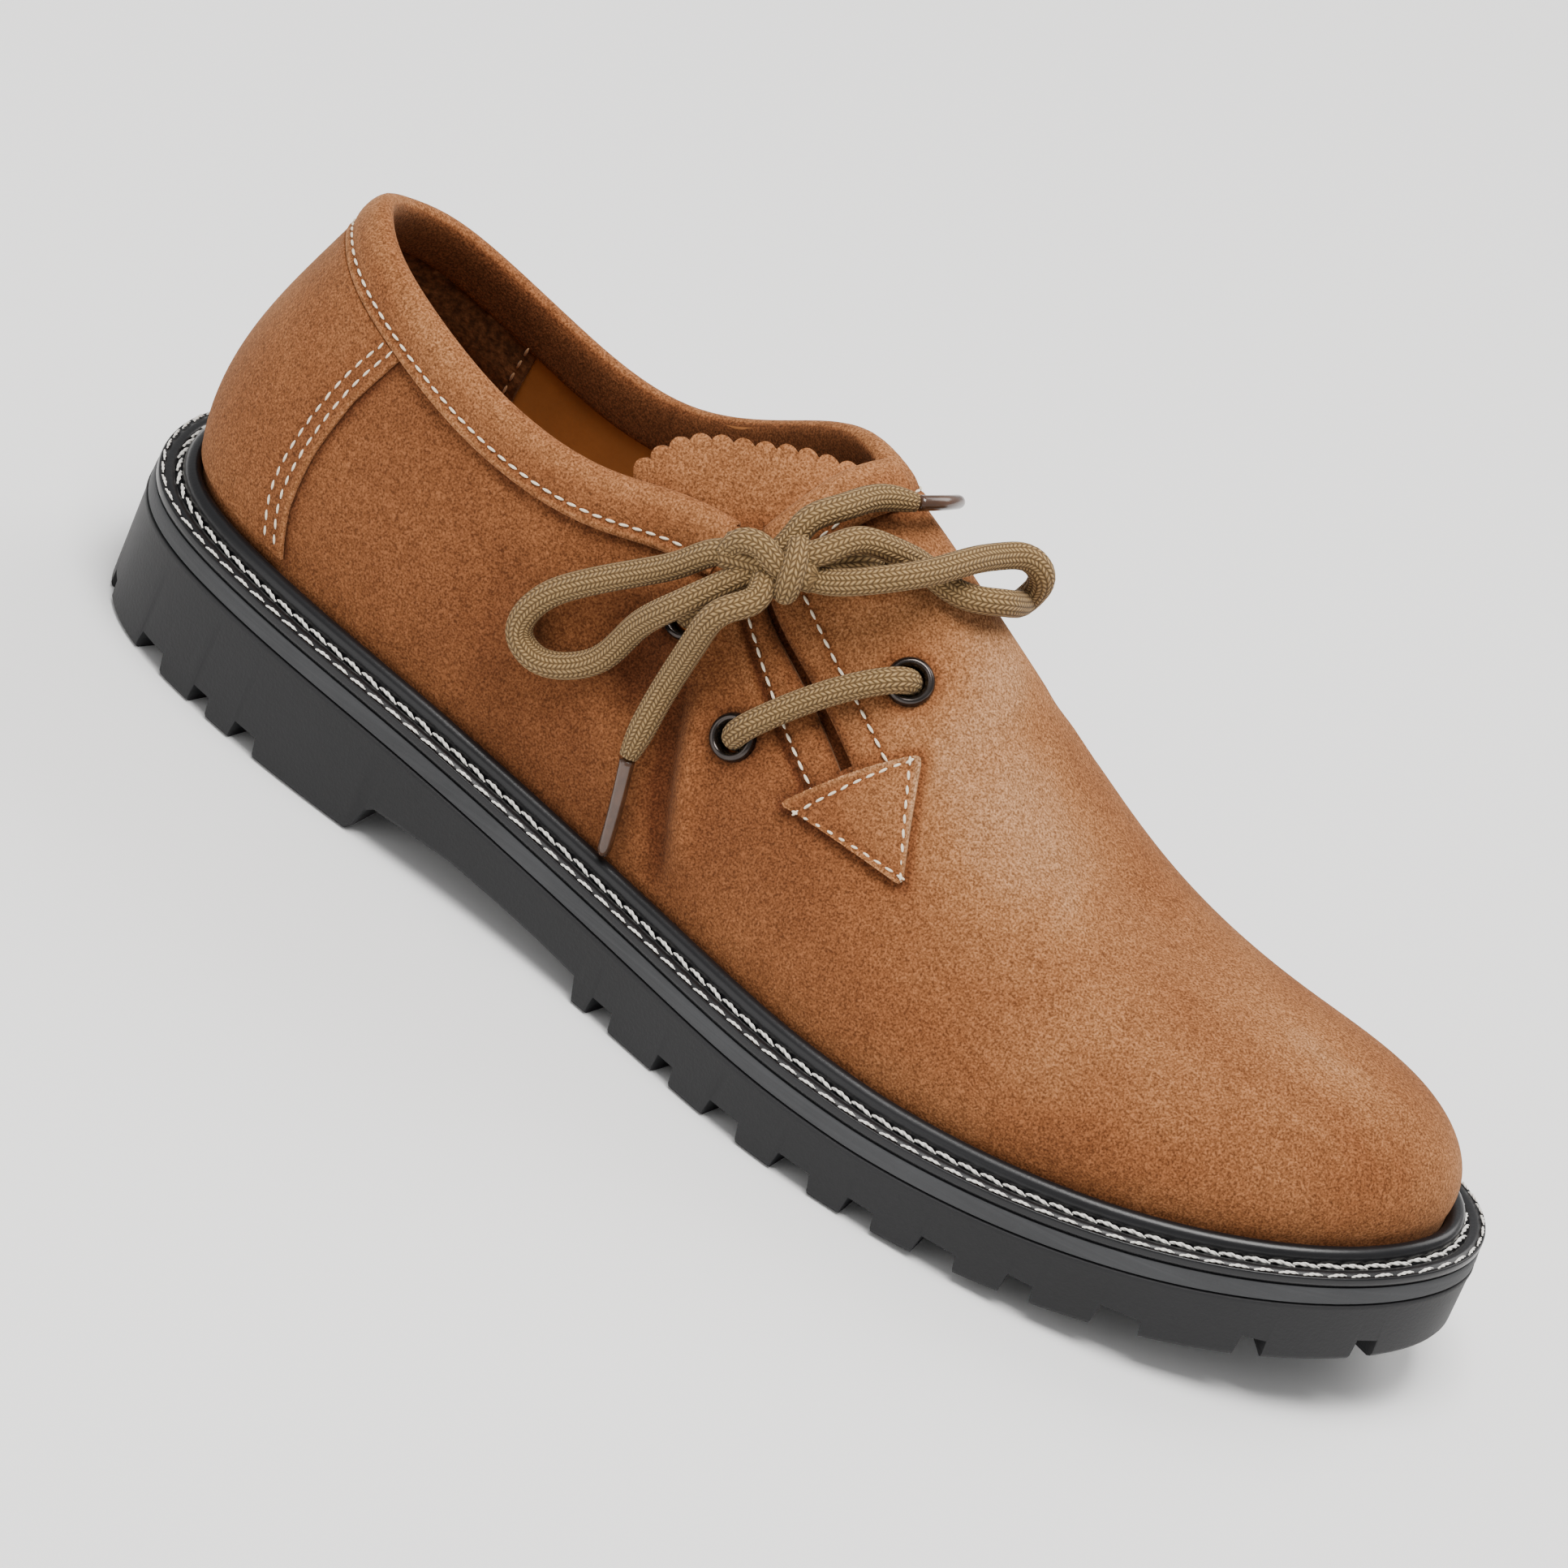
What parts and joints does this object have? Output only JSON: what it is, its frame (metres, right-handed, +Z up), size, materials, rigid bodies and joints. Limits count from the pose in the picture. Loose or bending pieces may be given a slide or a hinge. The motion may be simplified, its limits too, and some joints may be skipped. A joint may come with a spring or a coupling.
{
  "type": "haferl shoe",
  "caption": "Low suede haferl shoe laced on its outer side, with a collar band, heel counter, storm welt and lugged rubber sole.",
  "frame": {"origin": "middle of the sole's box, on the floor it stands on", "axes": "+X towards the toe, -Y the outer (lateral) side, +Z up"},
  "size_m": [0.302, 0.0998, 0.1102],
  "materials": {
    "black_rubber": "satin, moulded",
    "grey_rubber": "buffed matt",
    "black_welt": "smooth satin",
    "cognac_suede": "suede, matt nap",
    "tan_leather": "smooth leather",
    "dark_bronze": "dark, glossy",
    "olive_brown_braid": "braided cord",
    "brown_plastic": "glossy, translucent"
  },
  "bodies": {
    "root": {"outsole": "black_rubber", "midsole": "grey_rubber", "welt": "black_welt", "insole": "tan_leather", "upper": "cognac_suede", "counter": "cognac_suede", "collar_band": "cognac_suede", "slit_patch": "cognac_suede", "tongue": "cognac_suede", "eyelet_rear_lower": "dark_bronze", "eyelet_front_lower": "dark_bronze", "eyelet_rear_upper": "dark_bronze", "eyelet_front_upper": "dark_bronze", "lace_bar_lower": "olive_brown_braid", "lace_bar_upper": "olive_brown_braid", "lace_knot": "olive_brown_braid", "lace_loop_rear": "olive_brown_braid", "lace_loop_front": "olive_brown_braid", "lace_end_rear": "olive_brown_braid", "lace_end_front": "olive_brown_braid", "aglet_rear": "brown_plastic", "aglet_front": "brown_plastic"}
  },
  "joints": []
}
